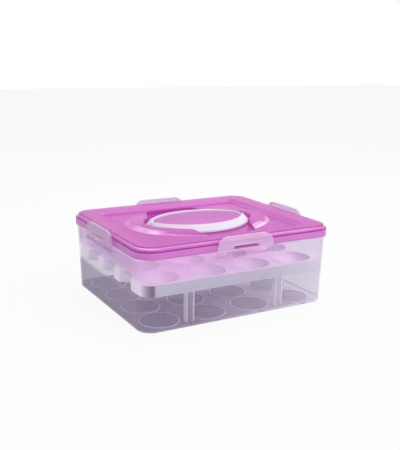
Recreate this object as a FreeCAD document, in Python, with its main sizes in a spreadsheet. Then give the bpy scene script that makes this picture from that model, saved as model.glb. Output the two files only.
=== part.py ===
import FreeCAD, Part
import math
import os
import Sketcher

# Tiered egg container: a clear box, an egg tray on four legs, a lid with a folding handle, four latches.
# Millimetres, +Z up, +X along the long side, -Y the front. The origin is the middle of the base.

SIZES = {
    # clear box
    "end_margin": 2.8,
    "side_margin": 3.5,
    "base_corner": 20.5,
    "base_round": 2.5,
    "wall_draft": 2.158,
    "wall_thick": 1.8,
    "floor_thick": 2.0,
    "rim_rise": 5.1,
    "flange_top": 98.4,
    "flange_thick": 2.0,
    # grid of egg places, the same on the floor and in the tray
    "cup_columns": 4,
    "cup_rows": 4,
    "cup_radius": 26.5,
    "web_long": 17.5,
    "web_wide": 5.0,
    "ring_margin": 1.0,
    "ring_width": 2.2,
    "ring_height": 1.8,
    # egg tray
    "tray_gap": 1.25,
    "tray_play": 1.25,
    "tray_top": 63.0,
    "tray_skirt": 15.6,
    "tray_thick": 1.8,
    "cup_depth": 13.5,
    "cup_wall": 1.6,
    "scallop_radius": 20.0,
    "scallop_web": 1.9,
    # legs of the tray and their sockets
    "leg_width": 12.0,
    "leg_depth": 8.0,
    "leg_wall": 1.8,
    "leg_inset": 10.0,
    "socket_wall": 1.5,
    "socket_depth": 8.0,
    "socket_play": 0.1,
    # lid
    "rim_gap": 0.7,
    "skirt_thick": 1.6,
    "skirt_height": 9.1,
    "shoulder_step": 2.3,
    "shoulder_rise": 5.9,
    "shoulder_slope": 23.0,
    "shoulder_round": 2.0,
    "lid_thick": 1.8,
    "border_ends": 31.5,
    "border_sides": 25.2,
    "panel_corner": 12.0,
    "panel_drop": 4.6,
    "panel_slope": 50.0,
    "plateau_end_gap": 8.5,
    "plateau_side_gap": 12.5,
    "plateau_ease": 13.0,
    "plateau_rise": 4.2,
    "plateau_slope": 62.0,
    "moat_drop": 9.8,
    "moat_gap": 3.0,
    "pad_gap": 2.5,
    "well_margin": 3.0,
    "well_left_far": 31.0,
    "well_left_near": 38.0,
    "well_left_root": 10.0,
    "well_right_far": 44.0,
    "well_right_near": 64.0,
    "well_right_root": 19.0,
    # carrying handle
    "handle_length": 162.0,
    "handle_width": 109.0,
    "handle_end_radius": 35.0,
    "handle_seat": 0.9,
    "handle_split": 0.6,
    "strap_width": 10.8,
    "strap_height": 10.0,
    "strap_edge": 2.5,
    "strap_slope": 46.0,
    "strap_wall": 2.0,
    "strap_roof": 1.8,
    "strap_round": 0.9,
    "knuckle_trim": 0.6,
    "pin_radius": 2.0,
    "pin_reach": 2.2,
    "pin_play": 0.05,
    "pin_end_gap": 0.4,
    # catches on the lid and latches on the box
    "catch_length": 36.0,
    "catch_depth": 1.6,
    "catch_height": 3.2,
    "catch_rise": 2.6,
    "latch_foot": 90.0,
    "latch_head": 84.0,
    "latch_height": 27.0,
    "latch_round": 14.0,
    "latch_inner": 2.0,
    "latch_rim": 2.0,
    "latch_thick": 2.0,
    "latch_rim_wall": 1.8,
    "latch_tail": 2.7,
    "slot_length": 40.0,
    "slot_height": 4.5,
    "slot_rise": 1.6,
    "slot_corner": 2.0,
    "hook_gap": 0.3,
    "hook_height": 2.4,
    "hinge_out": 5.0,
    "hinge_drop": 3.2,
    "rod_radius": 1.4,
    "rod_play": 0.05,
    "lug_width": 12.0,
    "lug_spacing": 62.0,
    "lug_wall": 1.4,
    "lug_mouth": 2.2,
    "lug_clear": 0.5,
}

# Places and sizes worked out from the sheet
PITCH_LONG = "(2 * Sizes.cup_radius + Sizes.web_long)"
PITCH_WIDE = "(2 * Sizes.cup_radius + Sizes.web_wide)"
BASE_LENGTH = f"(Sizes.cup_columns * {PITCH_LONG} + 2 * Sizes.end_margin)"
BASE_WIDTH = f"(Sizes.cup_rows * {PITCH_WIDE} + 2 * Sizes.side_margin)"
DRAFT = "tan(Sizes.wall_draft * 1 deg)"
RIM_TOP = "(Sizes.flange_top + Sizes.rim_rise)"
LID_GROWTH = f"({RIM_TOP} * {DRAFT} + Sizes.rim_gap + Sizes.skirt_thick)"
LID_LENGTH = f"({BASE_LENGTH} + 2 * {LID_GROWTH})"
LID_WIDTH = f"({BASE_WIDTH} + 2 * {LID_GROWTH})"
LID_CORNER = f"(Sizes.base_corner + {LID_GROWTH})"
FLANGE_LOW = "(Sizes.flange_top - Sizes.flange_thick)"
FIRST_COLUMN = f"(-(Sizes.cup_columns - 1) / 2 * {PITCH_LONG})"
FIRST_ROW = f"(-(Sizes.cup_rows - 1) / 2 * {PITCH_WIDE})"
RING_RADIUS = "(Sizes.cup_radius + Sizes.ring_margin)"
TRAY_LOW = "(Sizes.tray_top - Sizes.tray_skirt)"
TRAY_UNDER = "(Sizes.tray_top - Sizes.tray_thick)"
TRAY_INSET = f"(Sizes.wall_thick + Sizes.tray_gap - {TRAY_LOW} * {DRAFT})"
TRAY_LENGTH = f"({BASE_LENGTH} - 2 * {TRAY_INSET} - 2 * Sizes.tray_play)"
TRAY_WIDTH = f"({BASE_WIDTH} - 2 * {TRAY_INSET})"
TRAY_CORNER = f"(Sizes.base_corner - {TRAY_INSET})"
BOWL_RADIUS = "((Sizes.cup_radius ^ 2 + Sizes.cup_depth ^ 2) / (2 * Sizes.cup_depth))"
BOWL_DEEP = f"({BOWL_RADIUS} - Sizes.cup_depth + Sizes.tray_thick)"
BOWL_RIM = f"sqrt(({BOWL_RADIUS} + Sizes.cup_wall) ^ 2 - {BOWL_DEEP} ^ 2)"
SCALLOP_REACH = f"(Sizes.scallop_radius + Sizes.tray_thick + {BOWL_RIM} + Sizes.scallop_web)"
SCALLOP_CENTRE = f"(sqrt({SCALLOP_REACH} ^ 2 - ({PITCH_WIDE} / 2) ^ 2) - {FIRST_COLUMN})"
LEG_COLUMN = f"(-{FIRST_COLUMN} - {PITCH_LONG} / 2)"
LEG_ROW = f"({TRAY_WIDTH} / 2 - Sizes.leg_inset - Sizes.leg_depth / 2)"
SKIRT_TOP = "(Sizes.flange_top + Sizes.skirt_height)"
BORDER_TOP = f"({SKIRT_TOP} + Sizes.shoulder_rise)"
SHOULDER_INSET = "(Sizes.shoulder_step + Sizes.shoulder_rise * tan(Sizes.shoulder_slope * 1 deg))"
PANEL_TOP = f"({BORDER_TOP} - Sizes.panel_drop)"
PANEL_LENGTH = f"({LID_LENGTH} - 2 * Sizes.border_ends)"
PANEL_WIDTH = f"({LID_WIDTH} - 2 * Sizes.border_sides)"
PLATEAU_LENGTH = f"({PANEL_LENGTH} - 2 * Sizes.plateau_end_gap)"
PLATEAU_WIDTH = f"({PANEL_WIDTH} - 2 * Sizes.plateau_side_gap)"
PLATEAU_END = f"({PLATEAU_WIDTH} / 2 - Sizes.plateau_ease)"
CROWN_RADIUS = f"((({PLATEAU_WIDTH} / 2) ^ 2 + Sizes.plateau_rise ^ 2) / (2 * Sizes.plateau_rise))"
PAD_HALF_WIDTH = "(Sizes.handle_width / 2 - Sizes.strap_width - Sizes.pad_gap)"
PAD_SAG = f"({PAD_HALF_WIDTH} ^ 2 / (2 * {CROWN_RADIUS}))"
PAD_UNDER = f"({PANEL_TOP} + Sizes.plateau_rise - {PAD_SAG} - Sizes.lid_thick)"
MOAT_FLOOR = f"({BORDER_TOP} - Sizes.moat_drop)"
HANDLE_LOW = f"({MOAT_FLOOR} + Sizes.handle_seat)"
HANDLE_AXIS_HEIGHT = f"({HANDLE_LOW} + Sizes.strap_height / 2)"
HANDLE_AXIS_SIDE = "(Sizes.handle_split / 2 + Sizes.strap_height / 2)"
STRAP_SLOPE = "tan(Sizes.strap_slope * 1 deg)"
CHANNEL_INSET = "(2 * Sizes.strap_wall)"
CHANNEL_DEPTH = f"(Sizes.strap_edge + {CHANNEL_INSET} / {STRAP_SLOPE} - Sizes.strap_roof)"
HINGE_HEIGHT = f"({FLANGE_LOW} - Sizes.hinge_drop)"
LUG_RADIUS = "(Sizes.rod_radius + Sizes.rod_play + Sizes.lug_wall)"
WALL_INSET = f"(Sizes.rim_gap + Sizes.skirt_thick + ({RIM_TOP} - {HINGE_HEIGHT}) * {DRAFT})"
LUG_ROOT = f"({WALL_INSET} + Sizes.wall_thick / 2)"
LATCH_LOW = f"({HINGE_HEIGHT} - Sizes.latch_tail)"
LATCH_TOP = f"({LATCH_LOW} + Sizes.latch_height)"
LATCH_FACE = "(Sizes.latch_inner + Sizes.latch_rim + Sizes.latch_thick)"
SLOT_LOW = "(Sizes.flange_top + Sizes.slot_rise)"
CATCH_LOW = "(Sizes.flange_top + Sizes.catch_rise)"
NOTCH_HALF = "(Sizes.lug_width / 2 + Sizes.lug_clear)"

UP = FreeCAD.Vector(0, 0, 1)

doc = FreeCAD.newDocument("TieredEggContainer")
sheet = doc.addObject("Spreadsheet::Sheet", "Sizes")
for row, (name, value) in enumerate(SIZES.items(), start=1):
    sheet.set(f"A{row}", name)
    sheet.set(f"B{row}", str(value))
    sheet.setAlias(f"B{row}", name)
doc.recompute()


def value_of(text):
    """The present value of an expression over the sheet."""
    value = sheet.evalExpression(text)
    return float(getattr(value, "Value", value))


def origin_feature(body, role):
    """One of a body's own origin planes or axes."""
    return next(feature for feature in body.Origin.OriginFeatures if feature.Role == role)


def new_body(name):
    """An empty sub-part whose label names its file."""
    body = doc.addObject("PartDesign::Body", name)
    body.Label = name
    return body


def new_sketch(body, name, plane, offset="0", shift="0"):
    """A sketch on one of the body's own planes, moved along its normal and along its first axis."""
    sketch = body.newObject("Sketcher::SketchObject", name)
    sketch.AttachmentSupport = [(origin_feature(body, plane), "")]
    sketch.MapMode = "FlatFace"
    sketch.setExpression("AttachmentOffset.Base.z", offset)
    sketch.setExpression("AttachmentOffset.Base.x", shift)
    return sketch


def rule(sketch, kind, *references):
    """A constraint without a size."""
    sketch.addConstraint(Sketcher.Constraint(kind, *references))


def bind(sketch, kind, *references_and_text):
    """A constraint whose size follows an expression over the sheet."""
    *references, text = references_and_text
    index = sketch.addConstraint(Sketcher.Constraint(kind, *references, value_of(text)))
    sketch.setExpression(f"Constraints[{index}]", text)


def place(sketch, geometry, point, x_text, y_text):
    """Ties one point of a sketch to expressions for its two coordinates."""
    bind(sketch, "DistanceX", -1, 1, geometry, point, x_text)
    bind(sketch, "DistanceY", -1, 1, geometry, point, y_text)


def add_line(sketch, start, end):
    """A straight edge between two points of the sketch plane."""
    return sketch.addGeometry(Part.LineSegment(FreeCAD.Vector(*start, 0), FreeCAD.Vector(*end, 0)), False)


def add_arc(sketch, centre, radius, first, last):
    """An arc that runs counter-clockwise between two angles in degrees."""
    circle = Part.Circle(FreeCAD.Vector(*centre, 0), UP, radius)
    return sketch.addGeometry(Part.ArcOfCircle(circle, math.radians(first), math.radians(last)), False)


def add_circle(sketch, x_text, y_text, radius):
    """A full circle with its centre and radius bound."""
    centre = FreeCAD.Vector(value_of(x_text), value_of(y_text), 0)
    circle = sketch.addGeometry(Part.Circle(centre, UP, value_of(radius)), False)
    bind(sketch, "Radius", circle, radius)
    place(sketch, circle, 3, x_text, y_text)


def add_rectangle(sketch, x_low, x_high, y_low, y_high):
    """A rectangle given by the places of its four sides."""
    left, right, low, high = (value_of(text) for text in (x_low, x_high, y_low, y_high))
    corners = [(left, low), (right, low), (right, high), (left, high)]
    sides = [add_line(sketch, corners[n], corners[(n + 1) % 4]) for n in range(4)]
    for n in range(4):
        rule(sketch, "Coincident", sides[n], 2, sides[(n + 1) % 4], 1)
        rule(sketch, "Horizontal" if n % 2 == 0 else "Vertical", sides[n])
    place(sketch, sides[0], 1, x_low, y_low)
    place(sketch, sides[2], 1, x_high, y_high)


def add_rounded_rectangle(sketch, length, width, corner, middle="0"):
    """A rectangle with round corners, centred on the vertical axis of the sketch."""
    half_x, half_y = value_of(length) / 2, value_of(width) / 2
    radius, centre = value_of(corner), value_of(middle)
    in_x, in_y = half_x - radius, half_y - radius
    ends = [
        ((-in_x, -half_y), (in_x, -half_y)),
        ((half_x, -in_y), (half_x, in_y)),
        ((in_x, half_y), (-in_x, half_y)),
        ((-half_x, in_y), (-half_x, -in_y)),
    ]
    turns = [(in_x, -in_y), (in_x, in_y), (-in_x, in_y), (-in_x, -in_y)]
    sides = [add_line(sketch, (a[0], a[1] + centre), (b[0], b[1] + centre)) for a, b in ends]
    arcs = [
        add_arc(sketch, (x, y + centre), radius, 90 * n - 90, 90 * n)
        for n, (x, y) in enumerate(turns)
    ]
    for n in range(4):
        rule(sketch, "Tangent", sides[n], 2, arcs[n], 1)
        rule(sketch, "Tangent", arcs[n], 2, sides[(n + 1) % 4], 1)
        rule(sketch, "Horizontal" if n % 2 == 0 else "Vertical", sides[n])
    for arc in arcs[1:]:
        rule(sketch, "Equal", arcs[0], arc)
    bind(sketch, "Radius", arcs[0], corner)
    bind(sketch, "DistanceX", -1, 1, sides[1], 1, f"{length} / 2")
    bind(sketch, "DistanceX", -1, 1, sides[3], 1, f"-{length} / 2")
    bind(sketch, "DistanceY", -1, 1, sides[0], 1, f"{middle} - {width} / 2")
    bind(sketch, "DistanceY", -1, 1, sides[2], 1, f"{middle} + {width} / 2")


def add_oval(sketch, half_length, half_width, end_radius):
    """A smooth oval of two end arcs and two side arcs about the sketch's origin."""
    reach = f"({half_length} - {end_radius})"
    side = f"(({reach} ^ 2 + {half_width} ^ 2 - {end_radius} ^ 2) / (2 * ({half_width} - {end_radius})))"
    x, r, side_r, b = (value_of(text) for text in (reach, end_radius, side, half_width))
    meet = math.degrees(math.atan2(side_r - b, x))
    right = add_arc(sketch, (x, 0), r, -meet, meet)
    top = add_arc(sketch, (0, b - side_r), side_r, meet, 180 - meet)
    left = add_arc(sketch, (-x, 0), r, 180 - meet, 180 + meet)
    low = add_arc(sketch, (0, side_r - b), side_r, 180 + meet, 360 - meet)
    loop = [right, top, left, low]
    for n in range(4):
        rule(sketch, "Tangent", loop[n], 2, loop[(n + 1) % 4], 1)
    rule(sketch, "PointOnObject", right, 3, -1)
    rule(sketch, "PointOnObject", top, 3, -2)
    rule(sketch, "PointOnObject", low, 3, -2)
    rule(sketch, "Equal", right, left)
    rule(sketch, "Equal", top, low)
    bind(sketch, "Radius", right, end_radius)
    bind(sketch, "Radius", top, side)
    bind(sketch, "DistanceX", -1, 1, right, 3, reach)


def add_handle_oval(sketch, grow):
    """The outer outline of the handle, grown by the same amount all round."""
    half_length = f"(Sizes.handle_length / 2 + {grow})"
    half_width = f"(Sizes.handle_width / 2 + {grow})"
    add_oval(sketch, half_length, half_width, f"(Sizes.handle_end_radius + {grow})")


def add_well_outline(sketch, grow):
    """Plan of the front finger well: a slanting four-sided scoop from under the handle towards the front."""
    half = "Sizes.handle_width / 2"
    far = f"-({PLATEAU_WIDTH} / 2 - Sizes.well_margin + {grow})"
    corners = [
        (f"-(Sizes.well_left_near + {grow})", f"Sizes.well_left_root - {half}"),
        (f"-(Sizes.well_left_far + {grow})", far),
        (f"Sizes.well_right_far + {grow}", far),
        (f"Sizes.well_right_near + {grow}", f"Sizes.well_right_root - {half}"),
    ]
    points = [(value_of(x), value_of(y)) for x, y in corners]
    sides = [add_line(sketch, points[n], points[(n + 1) % 4]) for n in range(4)]
    for n, corner in enumerate(corners):
        rule(sketch, "Coincident", sides[n], 2, sides[(n + 1) % 4], 1)
        place(sketch, sides[n], 1, *corner)


def add_scalloped_outline(sketch, inset):
    """The tray's outline, moved inwards by inset, with finger scallops between the rows at both ends."""
    half_x, half_y = f"({TRAY_LENGTH} / 2 - {inset})", f"({TRAY_WIDTH} / 2 - {inset})"
    corner, radius = f"({TRAY_CORNER} - {inset})", f"(Sizes.scallop_radius + {inset})"
    a, b, c, r, far = (value_of(text) for text in (half_x, half_y, corner, radius, SCALLOP_CENTRE))
    count = int(value_of("Sizes.cup_rows")) - 1
    row_texts = [f"({PITCH_WIDE} * {n - (count - 1) / 2})" for n in range(count)]
    rows = [value_of(text) for text in row_texts]
    chord = math.sqrt(r**2 - (far - a) ** 2)
    swing = math.degrees(math.atan2(chord, far - a))
    bottom = add_line(sketch, (-a + c, -b), (a - c, -b))
    top = add_line(sketch, (a - c, b), (-a + c, b))
    corners = {}
    for side in (1, -1):
        ends = [-b + c] + [y + s * chord for y in rows for s in (-1, 1)] + [b - c]
        spans = list(zip(ends[::2], ends[1::2]))
        lines = [add_line(sketch, (side * a, start), (side * a, end)) for start, end in spans]
        middle = 180 if side > 0 else 0
        bays = [add_arc(sketch, (side * far, y), r, middle - swing, middle + swing) for y in rows]
        lower, upper = (2, 1) if side > 0 else (1, 2)
        for n, bay in enumerate(bays):
            rule(sketch, "Coincident", lines[n], 2, bay, lower)
            rule(sketch, "Coincident", bay, upper, lines[n + 1], 1)
            bind(sketch, "Radius", bay, radius)
            place(sketch, bay, 3, f"{side} * {SCALLOP_CENTRE}", row_texts[n])
        for line in lines:
            rule(sketch, "Vertical", line)
            bind(sketch, "DistanceX", -1, 1, line, 1, f"{side} * {half_x}")
        start = -90 if side > 0 else 180
        low_arc = add_arc(sketch, (side * (a - c), -b + c), c, start, start + 90)
        start = 0 if side > 0 else 90
        high_arc = add_arc(sketch, (side * (a - c), b - c), c, start, start + 90)
        first, second = (1, 2) if side > 0 else (2, 1)
        rule(sketch, "Tangent", bottom, 2 if side > 0 else 1, low_arc, first)
        rule(sketch, "Tangent", low_arc, second, lines[0], 1)
        rule(sketch, "Tangent", lines[-1], 2, high_arc, first)
        rule(sketch, "Tangent", high_arc, second, top, 1 if side > 0 else 2)
        corners[side] = (low_arc, high_arc)
    rule(sketch, "Horizontal", bottom)
    rule(sketch, "Horizontal", top)
    first_arc = corners[1][0]
    for arc in (corners[1][1], *corners[-1]):
        rule(sketch, "Equal", first_arc, arc)
    bind(sketch, "Radius", first_arc, corner)
    bind(sketch, "DistanceY", -1, 1, bottom, 1, f"-{half_y}")
    bind(sketch, "DistanceY", -1, 1, top, 1, half_y)


def add_latch_outline(sketch, inset):
    """The latch seen from outside, moved inwards by inset: wide foot, slanted sides, round upper corners."""
    foot, radius = f"(Sizes.latch_foot / 2 - {inset})", f"(Sizes.latch_round - {inset})"
    low, high = f"({LATCH_LOW} + {inset})", f"({LATCH_TOP} - {inset})"
    turn = "(Sizes.latch_head / 2 - Sizes.latch_round)"
    x, r, z0, z1, c = (value_of(text) for text in (foot, radius, low, high, turn))
    drop = math.hypot(x - c, z1 - r - z0)
    lean = math.atan2(x - c, z1 - r - z0) - math.asin(r / drop)
    touch = (c + r * math.cos(lean), z1 - r + r * math.sin(lean))
    bottom = add_line(sketch, (-x, z0), (x, z0))
    right = add_line(sketch, (x, z0), touch)
    upper_right = add_arc(sketch, (c, z1 - r), r, math.degrees(lean), 90)
    top = add_line(sketch, (c, z1), (-c, z1))
    upper_left = add_arc(sketch, (-c, z1 - r), r, 90, 180 - math.degrees(lean))
    left = add_line(sketch, (-touch[0], touch[1]), (-x, z0))
    rule(sketch, "Coincident", bottom, 2, right, 1)
    rule(sketch, "Coincident", left, 2, bottom, 1)
    rule(sketch, "Tangent", right, 2, upper_right, 1)
    rule(sketch, "Tangent", upper_right, 2, top, 1)
    rule(sketch, "Tangent", top, 2, upper_left, 1)
    rule(sketch, "Tangent", upper_left, 2, left, 1)
    rule(sketch, "Horizontal", top)
    rule(sketch, "Equal", upper_right, upper_left)
    bind(sketch, "Radius", upper_right, radius)
    place(sketch, bottom, 1, f"-{foot}", low)
    place(sketch, bottom, 2, foot, low)
    bind(sketch, "DistanceX", -1, 1, upper_right, 3, turn)
    bind(sketch, "DistanceX", -1, 1, upper_left, 3, f"-{turn}")
    bind(sketch, "DistanceY", -1, 1, top, 1, high)


def extrude(kind, body, name, sketch, length, back=False, both=False, taper=None):
    """A pad or a pocket, with its length bound, that becomes the body's tip."""
    feature = body.newObject(f"PartDesign::{kind}", name)
    feature.Profile = sketch
    feature.SideType = "Symmetric" if both else "One side"
    feature.Reversed = back
    feature.setExpression("Length", length)
    if taper:
        feature.setExpression("TaperAngle", taper)
    finish(body, feature)
    return feature


def pad(body, name, sketch, length, **options):
    """Material added along the sketch's normal."""
    return extrude("Pad", body, name, sketch, length, **options)


def pocket(body, name, sketch, length, **options):
    """Material cut away, against the sketch's normal unless it runs back; it has to cut something."""
    before = body.Shape.Volume
    feature = extrude("Pocket", body, name, sketch, length, **options)
    if body.Shape.Volume >= before:
        raise RuntimeError(f"{body.Label}: {name} cuts nothing")
    return feature


def finish(body, feature):
    """Makes a feature the body's tip and brings the document up to date."""
    body.Tip = feature
    doc.recompute()


def turn(kind, body, name, sketch):
    """A full revolution or groove about the sketch's own vertical axis."""
    feature = body.newObject(f"PartDesign::{kind}", name)
    feature.Profile = sketch
    feature.ReferenceAxis = (sketch, ["V_Axis"])
    finish(body, feature)
    return feature


def round_edges(body, name, base, radius, chosen):
    """A fillet on the edges that the test picks."""
    edges = [f"Edge{n}" for n, edge in enumerate(base.Shape.Edges, start=1) if chosen(edge)]
    feature = body.newObject("PartDesign::Fillet", name)
    feature.Base = (base, edges)
    feature.setExpression("Radius", radius)
    finish(body, feature)
    return feature


def lies_at(height):
    """A test for edges that lie wholly at one height."""
    level = value_of(height)
    near = 1e-4
    return lambda edge: abs(edge.BoundBox.ZMin - level) < near and abs(edge.BoundBox.ZMax - level) < near


def grid(body, name, feature):
    """Copies a feature from the first egg place to all of them."""
    pattern = body.newObject("PartDesign::LinearPattern", name)
    pattern.Originals = [feature]
    pattern.Direction = (origin_feature(body, "X_Axis"), [""])
    pattern.setExpression("Length", f"(Sizes.cup_columns - 1) * {PITCH_LONG}")
    pattern.setExpression("Occurrences", "Sizes.cup_columns")
    pattern.Direction2 = (origin_feature(body, "Y_Axis"), [""])
    pattern.setExpression("Length2", f"(Sizes.cup_rows - 1) * {PITCH_WIDE}")
    pattern.setExpression("Occurrences2", "Sizes.cup_rows")
    finish(body, pattern)
    return pattern


def mirror(body, name, features, *planes):
    """Copies features across one plane, or across two for four copies."""
    flips = []
    for plane in planes:
        flip = body.newObject("PartDesign::Mirrored", f"{name}_{plane[:2].lower()}")
        flip.MirrorPlane = (origin_feature(body, plane), [""])
        flips.append(flip)
    if len(flips) == 1:
        flips[0].Originals = features
        finish(body, flips[0])
        return flips[0]
    both = body.newObject("PartDesign::MultiTransform", name)
    both.Originals = features
    both.Transformations = flips
    finish(body, both)
    return both


def half_turn(body, name, feature):
    """Copies a feature half a turn about the upright axis."""
    pattern = body.newObject("PartDesign::PolarPattern", name)
    pattern.Originals = [feature]
    pattern.Axis = (origin_feature(body, "Z_Axis"), [""])
    pattern.Occurrences = 2
    finish(body, pattern)
    return pattern


def add_lug_profile(sketch, edge, side):
    """Side view of a hinge lug: a web from the wall and the flange to a round end about the hinge axis."""
    root = f"({side} * ({edge} - {LUG_ROOT}))"
    lip = f"({side} * {edge})"
    axis = f"({side} * ({edge} + Sizes.hinge_out))"
    low, high = f"({HINGE_HEIGHT} - {LUG_RADIUS})", f"({HINGE_HEIGHT} + {LUG_RADIUS})"
    xs = {name: value_of(text) for name, text in (("root", root), ("lip", lip), ("axis", axis))}
    z_low, z_high, z_flange = value_of(low), value_of(high), value_of(FLANGE_LOW)
    lower = add_line(sketch, (xs["root"], z_low), (xs["axis"], z_low))
    turn_start = -90 if side > 0 else 90
    middle = (xs["axis"], (z_low + z_high) / 2)
    nose = add_arc(sketch, middle, value_of(LUG_RADIUS), turn_start, turn_start + 180)
    brow = add_line(sketch, (xs["axis"], z_high), (xs["lip"], z_flange))
    shelf = add_line(sketch, (xs["lip"], z_flange), (xs["root"], z_flange))
    back = add_line(sketch, (xs["root"], z_flange), (xs["root"], z_low))
    nose_low, nose_high = (1, 2) if side > 0 else (2, 1)
    rule(sketch, "Coincident", lower, 2, nose, nose_low)
    rule(sketch, "Coincident", nose, nose_high, brow, 1)
    rule(sketch, "Coincident", brow, 2, shelf, 1)
    rule(sketch, "Coincident", shelf, 2, back, 1)
    rule(sketch, "Coincident", back, 2, lower, 1)
    place(sketch, lower, 1, root, low)
    place(sketch, lower, 2, axis, low)
    place(sketch, brow, 1, axis, high)
    place(sketch, brow, 2, lip, FLANGE_LOW)
    place(sketch, shelf, 2, root, FLANGE_LOW)
    bind(sketch, "DistanceX", -1, 1, nose, 3, axis)
    add_circle(sketch, axis, HINGE_HEIGHT, "(Sizes.rod_radius + Sizes.rod_play)")


def add_lugs(body, name, plane, edge, side):
    """Two pairs of snap-in hinge lugs on opposite walls of the box."""
    web_sketch = new_sketch(body, f"{name}_web", plane, "Sizes.lug_spacing / 2")
    add_lug_profile(web_sketch, edge, side)
    web = pad(body, f"{name}_lug", web_sketch, "Sizes.lug_width", both=True)
    mouth_sketch = new_sketch(body, f"{name}_mouth_shape", plane, "Sizes.lug_spacing / 2")
    axis = f"({side} * ({edge} + Sizes.hinge_out))"
    half = "Sizes.lug_mouth / 2"
    below = f"{HINGE_HEIGHT} - 2 * {LUG_RADIUS}"
    add_rectangle(mouth_sketch, f"{axis} - {half}", f"{axis} + {half}", below, HINGE_HEIGHT)
    mouth = pocket(body, f"{name}_mouth", mouth_sketch, "2 * Sizes.lug_width", both=True)
    mirror(body, f"{name}_lugs", [web, mouth], "YZ_Plane", "XZ_Plane")


def make_box():
    """Clear tapered box: flange for the lid, hinge lugs for the latches, floor rings for the lower tier."""
    body = new_body("box")
    outline = new_sketch(body, "base_outline", "XY_Plane")
    add_rounded_rectangle(outline, BASE_LENGTH, BASE_WIDTH, "Sizes.base_corner")
    draft = "Sizes.wall_draft * 1 deg"
    walls = pad(body, "walls", outline, RIM_TOP, taper=draft)
    round_edges(body, "base_edge", walls, "Sizes.base_round", lies_at("0"))
    flange = new_sketch(body, "flange_outline", "XY_Plane", FLANGE_LOW)
    add_rounded_rectangle(flange, LID_LENGTH, LID_WIDTH, LID_CORNER)
    pad(body, "flange", flange, "Sizes.flange_thick")
    add_lugs(body, "front", "YZ_Plane", f"{LID_WIDTH} / 2", -1)
    add_lugs(body, "side", "XZ_Plane", f"{LID_LENGTH} / 2", -1)
    inside = new_sketch(body, "inside_outline", "XY_Plane", "Sizes.floor_thick")
    inset = f"(Sizes.wall_thick - Sizes.floor_thick * {DRAFT})"
    add_rounded_rectangle(
        inside,
        f"({BASE_LENGTH} - 2 * {inset})",
        f"({BASE_WIDTH} - 2 * {inset})",
        f"(Sizes.base_corner - {inset})",
    )
    pocket(body, "inside", inside, f"{RIM_TOP} - Sizes.floor_thick", back=True, taper=draft)
    ring = new_sketch(body, "ring_outline", "XY_Plane", "Sizes.floor_thick")
    for radius in (RING_RADIUS, f"{RING_RADIUS} - Sizes.ring_width"):
        add_circle(ring, FIRST_COLUMN, FIRST_ROW, radius)
    grid(body, "floor_rings", pad(body, "floor_ring", ring, "Sizes.ring_height"))
    return body


def add_bowl_profile(sketch, growth, top):
    """Half section of a bowl: a cap of a ball, filled up to a level."""
    radius, bottom = f"({BOWL_RADIUS} + {growth})", f"(Sizes.tray_top - Sizes.cup_depth - {growth})"
    r, z0, z1 = value_of(radius), value_of(bottom), value_of(top)
    reach = math.sqrt(r**2 - (z0 + r - z1) ** 2)
    rim = add_line(sketch, (0, z1), (reach, z1))
    curve = add_arc(sketch, (0, z0 + r), r, -90, math.degrees(math.atan2(z1 - z0 - r, reach)))
    axis = add_line(sketch, (0, z0), (0, z1))
    rule(sketch, "Coincident", rim, 2, curve, 2)
    rule(sketch, "Coincident", curve, 1, axis, 1)
    rule(sketch, "Coincident", axis, 2, rim, 1)
    rule(sketch, "Horizontal", rim)
    rule(sketch, "PointOnObject", axis, 1, -2)
    rule(sketch, "PointOnObject", axis, 2, -2)
    rule(sketch, "PointOnObject", curve, 3, -2)
    bind(sketch, "Radius", curve, radius)
    bind(sketch, "DistanceY", -1, 1, axis, 1, bottom)
    bind(sketch, "DistanceY", -1, 1, axis, 2, top)


def make_tray():
    """Egg tray: plate and skirt with scalloped ends, a grid of round mouths, sockets for the legs."""
    body = new_body("egg_tray")
    outside = new_sketch(body, "tray_outline", "XY_Plane", TRAY_LOW)
    add_scalloped_outline(outside, "0")
    pad(body, "tray_block", outside, "Sizes.tray_skirt")
    inside = new_sketch(body, "tray_inside", "XY_Plane", TRAY_LOW)
    add_scalloped_outline(inside, "Sizes.tray_thick")
    pocket(body, "tray_hollow", inside, "Sizes.tray_skirt - Sizes.tray_thick", back=True)
    mouth = new_sketch(body, "mouth_section", "XZ_Plane", f"-{FIRST_ROW}", FIRST_COLUMN)
    add_bowl_profile(mouth, "0", "Sizes.tray_top")
    grid(body, "mouths", turn("Groove", body, "mouth", mouth))
    socket = new_sketch(body, "socket_outline", "XY_Plane", TRAY_UNDER)
    for growth in ("Sizes.socket_play", "(Sizes.socket_play + Sizes.socket_wall)"):
        half_x, half_y = f"(Sizes.leg_width / 2 + {growth})", f"(Sizes.leg_depth / 2 + {growth})"
        add_rectangle(
            socket,
            f"-{LEG_COLUMN} - {half_x}",
            f"-{LEG_COLUMN} + {half_x}",
            f"-{LEG_ROW} - {half_y}",
            f"-{LEG_ROW} + {half_y}",
        )
    ring = pad(body, "socket", socket, "Sizes.socket_depth", back=True)
    mirror(body, "sockets", [ring], "YZ_Plane", "XZ_Plane")
    return body


def make_bowl(column, row):
    """One bowl of the tray, hanging from the plate around its mouth."""
    name = f"tray_bowl_{column + 1}_{row + 1}"
    body = new_body(name)
    outer = new_sketch(body, f"{name}_outside", "XZ_Plane")
    add_bowl_profile(outer, "Sizes.cup_wall", TRAY_UNDER)
    turn("Revolution", body, f"{name}_cap", outer)
    inner = new_sketch(body, f"{name}_inside", "XZ_Plane")
    add_bowl_profile(inner, "0", TRAY_UNDER)
    turn("Groove", body, f"{name}_hollow", inner)
    body.setExpression("Placement.Base.x", f"{FIRST_COLUMN} + {column} * {PITCH_LONG}")
    body.setExpression("Placement.Base.y", f"{FIRST_ROW} + {row} * {PITCH_WIDE}")
    return body


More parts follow.
